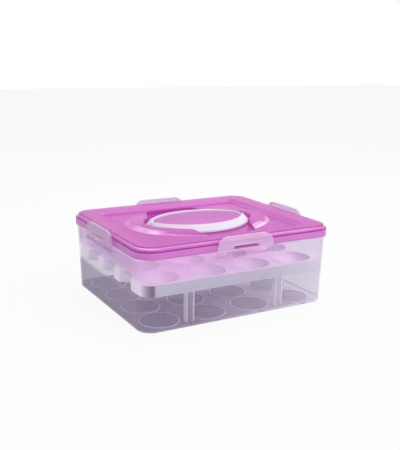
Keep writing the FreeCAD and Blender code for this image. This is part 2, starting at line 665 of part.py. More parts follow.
def make_leg(end, hand):
    """Channel leg, open towards the middle, from the floor of the box to the underside of the tray."""
    front = end == "front"
    body = new_body(f"tray_leg_{end}_{hand}")
    post = new_sketch(body, f"{end}_{hand}_post_outline", "XY_Plane", "Sizes.floor_thick")
    half_x, half_y = "Sizes.leg_width / 2", "Sizes.leg_depth / 2"
    add_rectangle(post, f"-{half_x}", half_x, f"-{half_y}", half_y)
    pad(body, f"{end}_{hand}_post", post, f"{TRAY_UNDER} - Sizes.floor_thick")
    wall = "Sizes.leg_wall"
    channel = new_sketch(body, f"{end}_{hand}_channel_outline", "XY_Plane", f"Sizes.floor_thick + {wall}")
    inner_x = f"({half_x} - {wall})"
    add_rectangle(channel, f"-{inner_x}", inner_x, f"{wall} - {half_y}", "Sizes.leg_depth")
    height = f"{TRAY_UNDER} - Sizes.floor_thick - Sizes.leg_wall"
    pocket(body, f"{end}_{hand}_channel", channel, height, back=True)
    body.Placement.Rotation = FreeCAD.Rotation(UP, 0 if front else 180)
    body.setExpression("Placement.Base.x", ("-" if hand == "left" else "") + LEG_COLUMN)
    body.setExpression("Placement.Base.y", ("-" if front else "") + LEG_ROW)
    return body


def hollow_lid(body):
    """Thin walls: the underside follows the moat, the panel, the raised border and the pad."""
    inner = (f"({LID_LENGTH} - 2 * Sizes.skirt_thick)", f"({LID_WIDTH} - 2 * Sizes.skirt_thick)")
    inner_corner = f"({LID_CORNER} - Sizes.skirt_thick)"
    moat_under = f"({MOAT_FLOOR} - Sizes.lid_thick)"
    under_moat = new_sketch(body, "under_moat_outline", "XY_Plane", "Sizes.flange_top")
    add_rounded_rectangle(under_moat, *inner, inner_corner)
    pocket(body, "under_moat", under_moat, f"{moat_under} - Sizes.flange_top", back=True)
    under_panel = new_sketch(body, "under_panel_outline", "XY_Plane", moat_under)
    add_rounded_rectangle(under_panel, *inner, inner_corner)
    add_handle_oval(under_panel, "(Sizes.moat_gap + Sizes.lid_thick)")
    panel_under = f"({PANEL_TOP} - Sizes.lid_thick)"
    pocket(body, "under_panel", under_panel, f"{panel_under} - {moat_under}", back=True)
    under_border = new_sketch(body, "under_border_outline", "XY_Plane", panel_under)
    inset = f"({SHOULDER_INSET} + Sizes.lid_thick)"
    add_rounded_rectangle(
        under_border,
        f"({LID_LENGTH} - 2 * {inset})",
        f"({LID_WIDTH} - 2 * {inset})",
        f"({LID_CORNER} - {inset})",
    )
    add_rounded_rectangle(
        under_border,
        f"({PANEL_LENGTH} + 2 * Sizes.lid_thick)",
        f"({PANEL_WIDTH} + 2 * Sizes.lid_thick)",
        "(Sizes.panel_corner + Sizes.lid_thick)",
    )
    pocket(body, "under_border", under_border, "Sizes.panel_drop", back=True)
    under_pad = new_sketch(body, "under_pad_outline", "XY_Plane", moat_under)
    add_handle_oval(under_pad, "(-Sizes.strap_width - Sizes.pad_gap - Sizes.lid_thick)")
    pocket(body, "under_pad", under_pad, f"{PAD_UNDER} - {moat_under}", back=True)
    block = new_sketch(body, "well_block_outline", "XY_Plane", moat_under)
    add_well_outline(block, "Sizes.lid_thick")
    half_turn(body, "well_blocks", pad(body, "well_block", block, f"{panel_under} - {moat_under}"))


def make_lid():
    """Lid: skirt, sloping shoulder, sunk panel, crowned plateau with the handle's moat and finger wells."""
    body = new_body("lid")
    skirt = new_sketch(body, "skirt_outline", "XY_Plane", "Sizes.flange_top")
    add_rounded_rectangle(skirt, LID_LENGTH, LID_WIDTH, LID_CORNER)
    pad(body, "skirt", skirt, "Sizes.skirt_height")
    shoulder = new_sketch(body, "shoulder_outline", "XY_Plane", SKIRT_TOP)
    step = "Sizes.shoulder_step"
    add_rounded_rectangle(
        shoulder, f"({LID_LENGTH} - 2 * {step})", f"({LID_WIDTH} - 2 * {step})", f"({LID_CORNER} - {step})"
    )
    slope = pad(body, "shoulder", shoulder, "Sizes.shoulder_rise", taper="-Sizes.shoulder_slope * 1 deg")
    round_edges(body, "shoulder_edge", slope, "Sizes.shoulder_round", lies_at(BORDER_TOP))
    panel = new_sketch(body, "panel_outline", "XY_Plane", BORDER_TOP)
    add_rounded_rectangle(panel, PANEL_LENGTH, PANEL_WIDTH, "Sizes.panel_corner")
    pocket(body, "panel", panel, "Sizes.panel_drop", taper="-Sizes.panel_slope * 1 deg")
    plateau = new_sketch(body, "plateau_outline", "XY_Plane", PANEL_TOP)
    add_oval(plateau, f"({PLATEAU_LENGTH} / 2)", f"({PLATEAU_WIDTH} / 2)", PLATEAU_END)
    pad(body, "plateau", plateau, "2 * Sizes.plateau_rise", taper="-Sizes.plateau_slope * 1 deg")
    crown_plateau(body)
    hollow_lid(body)
    sink_moat(body)
    bore_lid(body)
    add_catches(body)
    return body


def crown_plateau(body):
    """Cuts the plateau to a low arch, highest along the middle and level with the panel at front and rear."""
    arch = new_sketch(body, "crown_section", "YZ_Plane")
    half, low = f"({PLATEAU_WIDTH} / 2)", PANEL_TOP
    high = f"({BORDER_TOP} + Sizes.plateau_rise)"
    b, z0, z1, r = (value_of(text) for text in (half, low, high, CROWN_RADIUS))
    rise = value_of("Sizes.plateau_rise")
    swing = math.degrees(math.asin(b / r))
    curve = add_arc(arch, (0, z0 + rise - r), r, 90 - swing, 90 + swing)
    left = add_line(arch, (-b, z0), (-b, z1))
    top = add_line(arch, (-b, z1), (b, z1))
    right = add_line(arch, (b, z1), (b, z0))
    rule(arch, "Coincident", curve, 2, left, 1)
    rule(arch, "Coincident", left, 2, top, 1)
    rule(arch, "Coincident", top, 2, right, 1)
    rule(arch, "Coincident", right, 2, curve, 1)
    place(arch, left, 1, f"-{half}", low)
    place(arch, left, 2, f"-{half}", high)
    place(arch, top, 2, half, high)
    place(arch, right, 2, half, low)
    bind(arch, "Radius", curve, CROWN_RADIUS)
    pocket(body, "crown", arch, PLATEAU_LENGTH, both=True)


def sink_moat(body):
    """The moat that the handle lies in, with a finger well at the front and the rear."""
    moat = new_sketch(body, "moat_outline", "XY_Plane", BORDER_TOP)
    add_handle_oval(moat, "Sizes.moat_gap")
    add_handle_oval(moat, "(-Sizes.strap_width - Sizes.pad_gap)")
    pocket(body, "moat", moat, "Sizes.moat_drop")
    outline = new_sketch(body, "well_outline", "XY_Plane", BORDER_TOP)
    add_well_outline(outline, "0")
    half_turn(body, "wells", pocket(body, "well", outline, "Sizes.moat_drop"))


def bore_lid(body):
    """Bores for the handle's pins in the wall of the pad."""
    depth = "(Sizes.pin_reach + Sizes.pin_end_gap)"
    inner_end = f"(Sizes.handle_length / 2 - Sizes.strap_width - Sizes.pad_gap - {depth})"
    radius = "(Sizes.pin_radius + Sizes.pin_play)"
    bore = new_sketch(body, "bore_outline", "YZ_Plane", inner_end)
    for side in ("-", ""):
        add_circle(bore, f"{side}{HANDLE_AXIS_SIDE}", HANDLE_AXIS_HEIGHT, radius)
    right_bores = pocket(body, "bores", bore, f"{depth} + Sizes.pad_gap", back=True)
    mirror(body, "all_bores", [right_bores], "YZ_Plane")


def add_catches(body):
    """A catch in the middle of each side of the skirt."""
    half = "Sizes.catch_length / 2"
    root = "Sizes.skirt_thick / 2"
    front = new_sketch(body, "front_catch_outline", "XY_Plane", CATCH_LOW)
    edge = f"{LID_WIDTH} / 2"
    add_rectangle(front, f"-{half}", half, f"-({edge} + Sizes.catch_depth)", f"-({edge} - {root})")
    mirror(body, "front_catches", [pad(body, "front_catch", front, "Sizes.catch_height")], "XZ_Plane")
    side = new_sketch(body, "side_catch_outline", "XY_Plane", CATCH_LOW)
    edge = f"{LID_LENGTH} / 2"
    add_rectangle(side, f"-({edge} + Sizes.catch_depth)", f"-({edge} - {root})", f"-{half}", half)
    mirror(body, "side_catches", [pad(body, "side_catch", side, "Sizes.catch_height")], "YZ_Plane")


def make_handle(end, angle):
    """Half of the oval handle: a bail that slopes outwards, with a knuckle and an inward pin at each end."""
    body = new_body(f"handle_{end}")
    ring = new_sketch(body, f"{end}_ring_outline", "XY_Plane", HANDLE_LOW)
    add_handle_oval(ring, "0")
    add_handle_oval(ring, "(-Sizes.strap_width)")
    pad(body, f"{end}_ring", ring, "Sizes.strap_height")
    span = "Sizes.handle_length"
    outside = new_sketch(body, f"{end}_slope_outline", "XY_Plane", f"{HANDLE_LOW} + Sizes.strap_edge")
    add_rectangle(outside, f"-{span}", span, f"-{span}", span)
    add_handle_oval(outside, "0")
    fall = "Sizes.strap_height - Sizes.strap_edge"
    slope = pocket(body, f"{end}_slope", outside, fall, back=True, taper="-Sizes.strap_slope * 1 deg")
    top = f"{HANDLE_LOW} + Sizes.strap_height"
    round_edges(body, f"{end}_strap_edges", slope, "Sizes.strap_round", lies_at(top))
    channel = new_sketch(body, f"{end}_channel_outline", "XY_Plane", HANDLE_LOW)
    add_handle_oval(channel, f"(-{CHANNEL_INSET})")
    add_handle_oval(channel, "(Sizes.strap_wall - Sizes.strap_width)")
    pocket(body, f"{end}_channel", channel, CHANNEL_DEPTH, back=True)
    other = new_sketch(body, f"{end}_other_half", "XY_Plane", HANDLE_LOW)
    add_rectangle(other, f"-{span}", span, f"-{HANDLE_AXIS_SIDE}", "Sizes.handle_width")
    pocket(body, f"{end}_cut", other, "2 * Sizes.strap_height", back=True)
    inner = "(Sizes.handle_length / 2 - Sizes.strap_width)"
    trim = "Sizes.knuckle_trim"
    shelf = f"(Sizes.strap_width - ({fall}) * {STRAP_SLOPE} - {trim})"
    axis = (f"-{HANDLE_AXIS_SIDE}", HANDLE_AXIS_HEIGHT)
    drum_end = new_sketch(body, f"{end}_drum_outline", "YZ_Plane", f"{inner} + {trim}")
    add_circle(drum_end, *axis, "(Sizes.strap_height / 2)")
    drum = pad(body, f"{end}_drum", drum_end, f"{shelf} - {trim}")
    cone_end = new_sketch(body, f"{end}_cone_outline", "YZ_Plane", f"{inner} + {shelf}")
    add_circle(cone_end, *axis, "(Sizes.strap_height / 2)")
    reach = f"(Sizes.strap_height - Sizes.strap_round) / 2 * {STRAP_SLOPE}"
    cone = pad(body, f"{end}_cone", cone_end, reach, taper="(Sizes.strap_slope - 90) * 1 deg")
    pin_end = f"{inner} - Sizes.pad_gap - Sizes.pin_reach"
    pin_sketch = new_sketch(body, f"{end}_pin_outline", "YZ_Plane", pin_end)
    add_circle(pin_sketch, *axis, "Sizes.pin_radius")
    pin = pad(body, f"{end}_pin", pin_sketch, f"Sizes.pin_reach + Sizes.pad_gap + 2 * {trim}")
    mirror(body, f"{end}_hinges", [drum, cone, pin], "YZ_Plane")
    body.Placement.Rotation = FreeCAD.Rotation(UP, angle)
    return body


def make_latch(side, angle, axis, edge):
    """Latch: a rimmed plate with a slot, a hook above it, and a hinge rod along its foot."""
    body = new_body(f"latch_{side}")
    outside = new_sketch(body, f"{side}_outline", "XZ_Plane", "Sizes.latch_inner")
    add_latch_outline(outside, "0")
    pad(body, f"{side}_block", outside, "Sizes.latch_rim + Sizes.latch_thick")
    inside = new_sketch(body, f"{side}_inside", "XZ_Plane", "Sizes.latch_inner")
    add_latch_outline(inside, "Sizes.latch_rim_wall")
    pocket(body, f"{side}_hollow", inside, "Sizes.latch_rim", back=True)
    slot = new_sketch(body, f"{side}_slot_outline", "XZ_Plane", "Sizes.latch_inner")
    middle = f"({SLOT_LOW} + Sizes.slot_height / 2)"
    add_rounded_rectangle(slot, "Sizes.slot_length", "Sizes.slot_height", "Sizes.slot_corner", middle)
    pocket(body, f"{side}_slot", slot, LATCH_FACE, back=True)
    nose = "(Sizes.catch_depth + Sizes.hook_gap)"
    hook = new_sketch(body, f"{side}_hook_outline", "XZ_Plane", nose)
    half = "Sizes.slot_length / 2"
    sill = f"({SLOT_LOW} + Sizes.slot_height)"
    add_rectangle(hook, f"-{half}", half, sill, f"{sill} + Sizes.hook_height")
    pad(body, f"{side}_hook", hook, f"{LATCH_FACE} - Sizes.latch_thick / 2 - {nose}")
    notch = new_sketch(body, f"{side}_notch_outline", "XZ_Plane", "Sizes.latch_inner")
    for hand in ("-", ""):
        centre = f"{hand}Sizes.lug_spacing / 2"
        below = f"{LATCH_LOW} - Sizes.latch_tail"
        above = f"{FLANGE_LOW} + Sizes.lug_clear"
        add_rectangle(notch, f"{centre} - {NOTCH_HALF}", f"{centre} + {NOTCH_HALF}", below, above)
    pocket(body, f"{side}_notches", notch, LATCH_FACE, back=True)
    rod = new_sketch(body, f"{side}_rod_outline", "YZ_Plane")
    add_circle(rod, "-Sizes.hinge_out", HINGE_HEIGHT, "Sizes.rod_radius")
    pad(body, f"{side}_rod", rod, "Sizes.lug_spacing + Sizes.lug_width + 4 * Sizes.lug_clear", both=True)
    body.Placement.Rotation = FreeCAD.Rotation(UP, angle)
    body.setExpression(f"Placement.Base.{axis}", edge)
    return body


sub_parts = [make_box(), make_tray(), make_lid()]
for bowl_column in range(SIZES["cup_columns"]):
    for bowl_row in range(SIZES["cup_rows"]):
        sub_parts.append(make_bowl(bowl_column, bowl_row))
for leg_end in ("front", "rear"):
    for leg_hand in ("left", "right"):
        sub_parts.append(make_leg(leg_end, leg_hand))
for handle_end, handle_angle in (("front", 0), ("rear", 180)):
    sub_parts.append(make_handle(handle_end, handle_angle))
for latch_side, latch_angle, latch_axis, latch_edge in (
    ("front", 0, "y", f"-{LID_WIDTH} / 2"),
    ("rear", 180, "y", f"{LID_WIDTH} / 2"),
    ("left", -90, "x", f"-{LID_LENGTH} / 2"),
    ("right", 90, "x", f"{LID_LENGTH} / 2"),
):
    sub_parts.append(make_latch(latch_side, latch_angle, latch_axis, latch_edge))
doc.recompute()

for item in doc.Objects:
    if {"Invalid", "Error"} & set(item.State):
        raise RuntimeError(f"{item.Label} failed: {item.State}")
    if item.TypeId == "Sketcher::SketchObject" and not item.FullyConstrained:
        raise RuntimeError(f"{item.Label} isn't fully constrained")
for part in sub_parts:
    if part.Shape.isNull() or not part.Shape.isValid() or len(part.Shape.Solids) != 1:
        raise RuntimeError(f"{part.Label} isn't one valid solid")

os.makedirs("parts", exist_ok=True)
for part in sub_parts:
    part.Shape.exportStep(f"parts/{part.Label}.step")
    print(part.Label, round(part.Shape.Volume), part.Shape.BoundBox)
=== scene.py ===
import math

import bpy
from mathutils import Matrix, Vector

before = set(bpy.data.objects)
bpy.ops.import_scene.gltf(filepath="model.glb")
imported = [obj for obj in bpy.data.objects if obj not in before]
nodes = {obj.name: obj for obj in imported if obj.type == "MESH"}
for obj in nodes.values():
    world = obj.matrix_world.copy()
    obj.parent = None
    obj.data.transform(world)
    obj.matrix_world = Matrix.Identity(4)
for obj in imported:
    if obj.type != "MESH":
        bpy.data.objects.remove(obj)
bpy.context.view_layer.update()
scene = bpy.context.scene

MM = 0.001


def mm(*sizes):
    """Sizes, places or the two ends of a span, from millimetres."""
    return tuple(size * MM for size in sizes)


# Plan sizes that the finishes follow
CUP_PITCH = mm(70.5, 58.0)
RING_RADIUS = 27.5 * MM
RING_LINE = 1.7 * MM
RINGS_HALF = mm(135.0, 116.0)
LEG_EDGE = mm(3.8, 4.2)
LID_HALF = mm(150.0, 125.7)
LID_CORNER = 26.7 * MM
PAD_HALF = mm(67.7, 41.2)
PLATEAU_ASPECT = 0.73
PLATEAU_EDGE = mm(91.0, 92.0)
PLATEAU_SIDE = mm(73.0, 84.0)

# Distances in from the lid's outline
CATCHES = mm(-0.3, -0.1)
LID_RIM = mm(3.5, 7.5)
LID_STEPS = mm(8.0, 9.0)
LID_PANEL = mm(14.0, 15.0)

# Heights on the box, the tray's surroundings and the latches
RING_TOPS = mm(3.9, 4.3)
BELOW_TRAY = mm(42.0, 48.0)
BESIDE_TRAY = mm(46.0, 68.0)
TRAY_TOP = mm(58.0, 72.0)
ABOVE_TRAY = mm(68.0, 80.0)
NEAR_FLANGE = mm(70.0, 90.0)
LATCH_FOOT = mm(96.0, 99.5)
FLANGE = mm(96.2, 98.6)

# Heights on the lid
LID_HEM = mm(99.0, 99.3)
SKIRT_TOP = mm(107.0, 107.4)
LEDGE = mm(107.3, 108.3)
PANEL_TOP = mm(107.5, 108.3)
SHOULDER = mm(108.0, 112.0)
PLATEAU_FOOT = mm(108.9, 109.2)
PLATEAU_TOP = mm(109.0, 109.6)
PAD_TOP = mm(110.0, 110.5)
STREAK = mm(111.0, 112.2)
RIM_TOP = mm(112.6, 112.9)

# Directions in plan, and cosines from dim to full, of the painted highlights on the plateau's two sides
GLINTS = (((-0.925, -0.38), (0.93, 0.98)), ((0.515, -0.857), (0.955, 0.985)))

# How strongly the satin plastics mirror the studio
SPECULAR = 0.25

# View settings and ray depth for many clear walls behind one another
scene.view_settings.view_transform = "Standard"
scene.cycles.transparent_max_bounces = 40
scene.cycles.max_bounces = 16


class Tree:
    """A node tree, with short calls to add and join nodes."""

    def __init__(self, owner, output):
        owner.use_nodes = True
        self.tree = owner.node_tree
        self.tree.nodes.clear()
        self.out = self.add(output)

    def add(self, kind, **settings):
        node = self.tree.nodes.new(kind)
        for key, value in settings.items():
            setattr(node, key, value)
        return node

    def join(self, source, target):
        self.tree.links.new(source, target)

    def feed(self, target, value):
        """Sets a socket to a plain value, or joins it to another node's output."""
        if isinstance(value, bpy.types.NodeSocket):
            self.join(value, target)
        else:
            target.default_value = value

    def split(self, vector):
        node = self.add("ShaderNodeSeparateXYZ")
        self.join(vector, node.inputs[0])
        return node.outputs

    def spread(self, value, low, high, start=0.0, end=1.0):
        """Maps a value from start..end to low..high, clamped."""
        node = self.add("ShaderNodeMapRange")
        self.join(value, node.inputs["Value"])
        node.inputs["From Min"].default_value = start
        node.inputs["From Max"].default_value = end
        node.inputs["To Min"].default_value = low
        node.inputs["To Max"].default_value = high
        return node.outputs["Result"]

    def rise(self, value, start, end):
        """0 up to start, 1 from end on."""
        return self.spread(value, 0.0, 1.0, start, end)

    def fall(self, value, start, end):
        """1 up to start, 0 from end on."""
        return self.spread(value, 1.0, 0.0, start, end)

    def band(self, value, low, high, soft):
        """1 where a value lies between low and high, with soft ends."""
        return self.product(
            self.rise(value, low - soft, low + soft), self.fall(value, high - soft, high + soft)
        )

    def maths(self, operation, *values):
        node = self.add("ShaderNodeMath", operation=operation)
        for socket, value in zip(node.inputs, values):
            self.feed(socket, value)
        return node.outputs["Value"]

    def chain(self, operation, first, *others):
        for other in others:
            first = self.maths(operation, first, other)
        return first

    def product(self, *values):
        return self.chain("MULTIPLY", *values)

    def most(self, *values):
        return self.chain("MAXIMUM", *values)

    def total(self, *values):
        return self.chain("ADD", *values)

    def size(self, value):
        return self.maths("ABSOLUTE", value)

    def length(self, first, second):
        """The length of a flat vector."""
        return self.maths("SQRT", self.total(self.product(first, first), self.product(second, second)))

    def blend(self, share, first, second):
        """A colour between two, by a share from 0 to 1."""
        node = self.add("ShaderNodeMix", data_type="RGBA")
        self.feed(node.inputs[0], share)
        self.feed(node.inputs[6], first)
        self.feed(node.inputs[7], second)
        return node.outputs[2]

    def layers(self, colour, *shares_and_colours):
        """Lays colours over one another, each by its share."""
        for share, over in shares_and_colours:
            colour = self.blend(share, colour, over)
        return colour

    def finish(self, share, under, over):
        """Joins two shaders to the output, the second by its share over the first."""
        mix = self.add("ShaderNodeMixShader")
        self.join(share, mix.inputs["Fac"])
        self.join(under.outputs[0], mix.inputs[1])
        self.join(over.outputs[0], mix.inputs[2])
        self.join(mix.outputs[0], self.out.inputs["Surface"])


class Plastic(Tree):
    """A plastic's node tree, with the place and direction of each point of its surface."""

    def __init__(self, name):
        self.material = bpy.data.materials.new(name)
        super().__init__(self.material, "ShaderNodeOutputMaterial")
        coordinates = self.add("ShaderNodeTexCoord")
        self.where = coordinates.outputs["Object"]
        self.facing = coordinates.outputs["Normal"]

    def noise(self, scale):
        node = self.add("ShaderNodeTexNoise")
        self.join(self.where, node.inputs["Vector"])
        node.inputs["Scale"].default_value = scale
        node.inputs["Detail"].default_value = 2.0
        return node.outputs["Fac"]

    def flow(self, scale=22.0):
        """The faint flow pattern of a moulding, from 0 to 1."""
        return self.rise(self.noise(scale), 0.3, 0.7)


def rgb(red, green, blue):
    return (red, green, blue, 1.0)


def edge_mask(t, radius):
    """1 along sharp edges, 0 elsewhere, with the rounded normal that goes with it."""
    bevel = t.add("ShaderNodeBevel", samples=6)
    bevel.inputs["Radius"].default_value = radius
    flat = t.add("ShaderNodeNewGeometry")
    dot = t.add("ShaderNodeVectorMath", operation="DOT_PRODUCT")
    t.join(bevel.outputs["Normal"], dot.inputs[0])
    t.join(flat.outputs["Normal"], dot.inputs[1])
    return t.fall(dot.outputs["Value"], 0.72, 0.985), bevel.outputs["Normal"]


def crease_mask(t, reach):
    """1 deep in hollows and corners, 0 on open faces: the mask for painted shade."""
    crease_shade = t.add("ShaderNodeAmbientOcclusion", samples=8)
    crease_shade.inputs["Distance"].default_value = reach
    return t.fall(crease_shade.outputs["AO"], 0.2, 0.75)


def inset(t, x, y, half_x, half_y, corner):
    """How far a point lies inside a rectangle with round corners."""
    over = [
        t.most(t.maths("SUBTRACT", t.size(place), half - corner), 0.0)
        for place, half in ((x, half_x), (y, half_y))
    ]
    return t.maths("SUBTRACT", corner, t.length(*over))


def slanted_cover(t, head_on, edge_on):
    """More plastic is seen at a slant than head on."""
    facing = t.add("ShaderNodeLayerWeight")
    facing.inputs["Blend"].default_value = 0.35
    return t.spread(facing.outputs["Facing"], head_on, edge_on)


def surface(t, colour, rough, normal, cover, tint, lit, cast=None):
    """Joins a plastic shader to the output. cover is the share of it over a clear body of the given tint;
    lit and cast are that share and tint for light on its way to what lies behind."""
    shader = t.add("ShaderNodeBsdfPrincipled")
    t.join(colour, shader.inputs["Base Color"])
    t.join(rough, shader.inputs["Roughness"])
    shader.inputs["Specular IOR Level"].default_value = SPECULAR
    bump = t.add("ShaderNodeBump")
    bump.inputs["Strength"].default_value = 0.04
    bump.inputs["Distance"].default_value = 0.2 * MM
    t.join(t.noise(1400.0), bump.inputs["Height"])
    t.join(normal, bump.inputs["Normal"])
    t.join(bump.outputs["Normal"], shader.inputs["Normal"])
    rays = t.add("ShaderNodeLightPath")
    passing = t.most(rays.outputs["Is Shadow Ray"], rays.outputs["Is Diffuse Ray"])
    clear = t.add("ShaderNodeBsdfTransparent")
    t.feed(clear.inputs["Color"], t.blend(passing, tint, cast) if cast else tint)
    share = t.add("ShaderNodeMix", data_type="FLOAT")
    t.join(passing, share.inputs[0])
    t.join(cover, share.inputs[2])
    share.inputs[3].default_value = lit
    t.finish(share.outputs[0], clear, shader)


def handle_plastic():
    """White satin handle with softened edges, painted pale along them as highlights."""
    t = Plastic("white_handle")
    flow = t.flow()
    edges, normal = edge_mask(t, 0.6 * MM)
    white = t.blend(flow, rgb(0.80, 0.76, 0.83), rgb(0.77, 0.73, 0.80))
    # Painted highlight: paler colour along the edges.
    colour = t.blend(edges, white, rgb(0.88, 0.86, 0.91))
    cover = t.most(slanted_cover(t, 0.95, 0.98), t.product(edges, 0.85))
    surface(t, colour, t.spread(flow, 0.2975, 0.4025), normal, cover, rgb(0.9, 0.75, 0.88), 0.9)
    return t.material


def shell_plastic():
    """Clear box: painted shade below the tray, deeper to the left; painted highlights on the ring ridges of
    its floor and along its top edges; painted pink light from the lid on its upper front wall.
    """
    t = Plastic("clear_shell")
    x, y, z = t.split(t.where)
    across, _, _ = t.split(t.facing)
    flow = t.flow(14.0)
    # Painted shade below the tray, deeper to the left and paler to the right, where more light falls.
    low = t.fall(z, *BELOW_TRAY)
    lit_from_right = t.rise(x, *mm(-70.0, 150.0))
    floor = t.fall(z, *RING_TOPS)
    from_cup = [
        t.maths("WRAP", t.total(place, pitch / 2), pitch / 2, -pitch / 2)
        for place, pitch in zip((x, y), CUP_PITCH)
    ]
    from_middle = t.length(*from_cup)
    ring = t.band(from_middle, RING_RADIUS - RING_LINE, RING_RADIUS, 0.2 * MM)
    inside = t.product(floor, t.fall(from_middle, RING_RADIUS - 1.8 * MM, RING_RADIUS - 1.5 * MM))
    on_floor = [t.fall(t.size(place), half - 0.2 * MM, half) for place, half in zip((x, y), RINGS_HALF)]
    # Painted highlight: white lines on the ring ridges of the floor.
    ring_highlight = t.product(floor, ring, *on_floor)
    left = t.product(t.fall(across, -0.9, -0.4), t.fall(x, *mm(-60.0, 0.0)))
    upper = t.rise(z, *TRAY_TOP)
    over_tray = t.rise(z, *ABOVE_TRAY)
    by_tray = t.product(left, t.band(z, *BESIDE_TRAY, 2.0 * MM))
    front = t.fall(y, *mm(-121.0, -80.0))
    # Painted light: pink light from the lid on the upper front wall, strongest to the left.
    pink_lid_light = t.product(front, upper, t.spread(x, 1.0, 0.35, *mm(-110.0, 90.0)))
    # Painted highlights along the flange, stronger on the left, and along the edges near it.
    flange = t.band(z, *FLANGE, 0.2 * MM)
    edges, normal = edge_mask(t, 0.5 * MM)
    edges = t.product(edges, t.rise(z, *NEAR_FLANGE))
    wall = t.blend(flow, rgb(0.60, 0.54, 0.70), rgb(0.58, 0.52, 0.68))
    # Painted shade on the left wall, deepest and pinkest above the tray.
    shaded_left_wall = t.blend(over_tray, rgb(0.66, 0.56, 0.74), rgb(0.42, 0.25, 0.50))
    shade = t.blend(lit_from_right, rgb(0.36, 0.31, 0.42), rgb(0.84, 0.79, 0.90))
    colour = t.layers(
        t.blend(left, wall, shaded_left_wall),
        (low, shade),
        (t.product(inside, 0.65), rgb(0.28, 0.23, 0.34)),
        (pink_lid_light, rgb(0.88, 0.46, 0.86)),
        (t.most(ring_highlight, t.product(edges, 0.7)), rgb(1.0, 0.98, 1.0)),
        (t.product(flange, t.total(t.product(left, 0.7), 0.25)), rgb(0.92, 0.84, 0.95)),
    )
    shaded_left = t.product(left, t.most(t.product(over_tray, 0.16), t.product(low, 0.1)))
    cover = t.total(slanted_cover(t, 0.05, 0.28), t.product(low, 0.06), shaded_left)
    cover = t.product(cover, t.spread(by_tray, 1.0, 0.35))
    edging = t.product(flange, t.total(t.product(left, 0.4), 0.25))
    cover = t.most(cover, t.product(floor, 0.6), ring_highlight, t.product(edges, 0.4), edging, t.product(pink_lid_light, 0.27))
    # Painted shade in the clear tint below the tray, deeper to the left.
    low_tint = t.blend(lit_from_right, rgb(0.88, 0.86, 0.90), rgb(0.945, 0.935, 0.955))
    tint = t.layers(rgb(0.955, 0.94, 0.97), (low, low_tint), (by_tray, rgb(1.0, 0.995, 1.0)))
    surface(t, colour, t.spread(flow, 0.16, 0.24), normal, cover, tint, 0.03, rgb(0.96, 0.955, 0.97))
    return t.material


def tray_plastic():
    """Milky tray: pale on top and painted paler to the right; painted light on its end teeth and painted
    highlights on its edges; painted shade, greyer, on its skirt and scallop walls, and deepest at one turn.
    """
    t = Plastic("milky_tray")
    x, y, _ = t.split(t.where)
    across, along, upward = t.split(t.facing)
    flow = t.flow()
    edges, normal = edge_mask(t, 0.7 * MM)
    outside = t.rise(t.size(y), *mm(98.0, 100.0))
    # Painted shade: the outer skirt greyer, paler to the right.
    skirt = t.product(outside, t.rise(t.product(along, along), 0.5, 0.95))
    # Painted shade at the left-front turn of the skirt.
    shaded_turn = t.product(t.fall(along, -0.9, -0.45), t.fall(across, -0.3, -0.12))
    corner = t.product(outside, shaded_turn, t.fall(upward, 0.1, 0.3))
    # Painted light on the left end faces of the teeth.
    lit_tooth_faces = t.fall(across, -0.98, -0.9)
    # Painted light: paler to the right, where more light falls.
    lit_from_right = t.rise(x, *mm(40.0, 140.0))
    colour = t.layers(
        t.blend(flow, rgb(0.88, 0.84, 0.90), rgb(0.85, 0.81, 0.87)),
        (lit_from_right, rgb(0.93, 0.90, 0.94)),
        # Painted shade on the scallop walls that turn from the light.
        (t.spread(across, 0.0, 0.8, -0.3, -0.6), rgb(0.72, 0.69, 0.77)),
        (skirt, t.blend(lit_from_right, rgb(0.64, 0.63, 0.69), rgb(0.84, 0.83, 0.89))),
        (corner, rgb(0.20, 0.175, 0.24)),
        # Painted highlight along the edges.
        (t.product(edges, 0.8), rgb(0.93, 0.91, 0.95)),
        (lit_tooth_faces, rgb(1.0, 0.98, 1.0)),
    )
    cover = slanted_cover(t, 0.92, 0.98)
    surface(t, colour, t.spread(flow, 0.36, 0.46), normal, cover, rgb(0.95, 0.92, 0.96), 0.45)
    return t.material


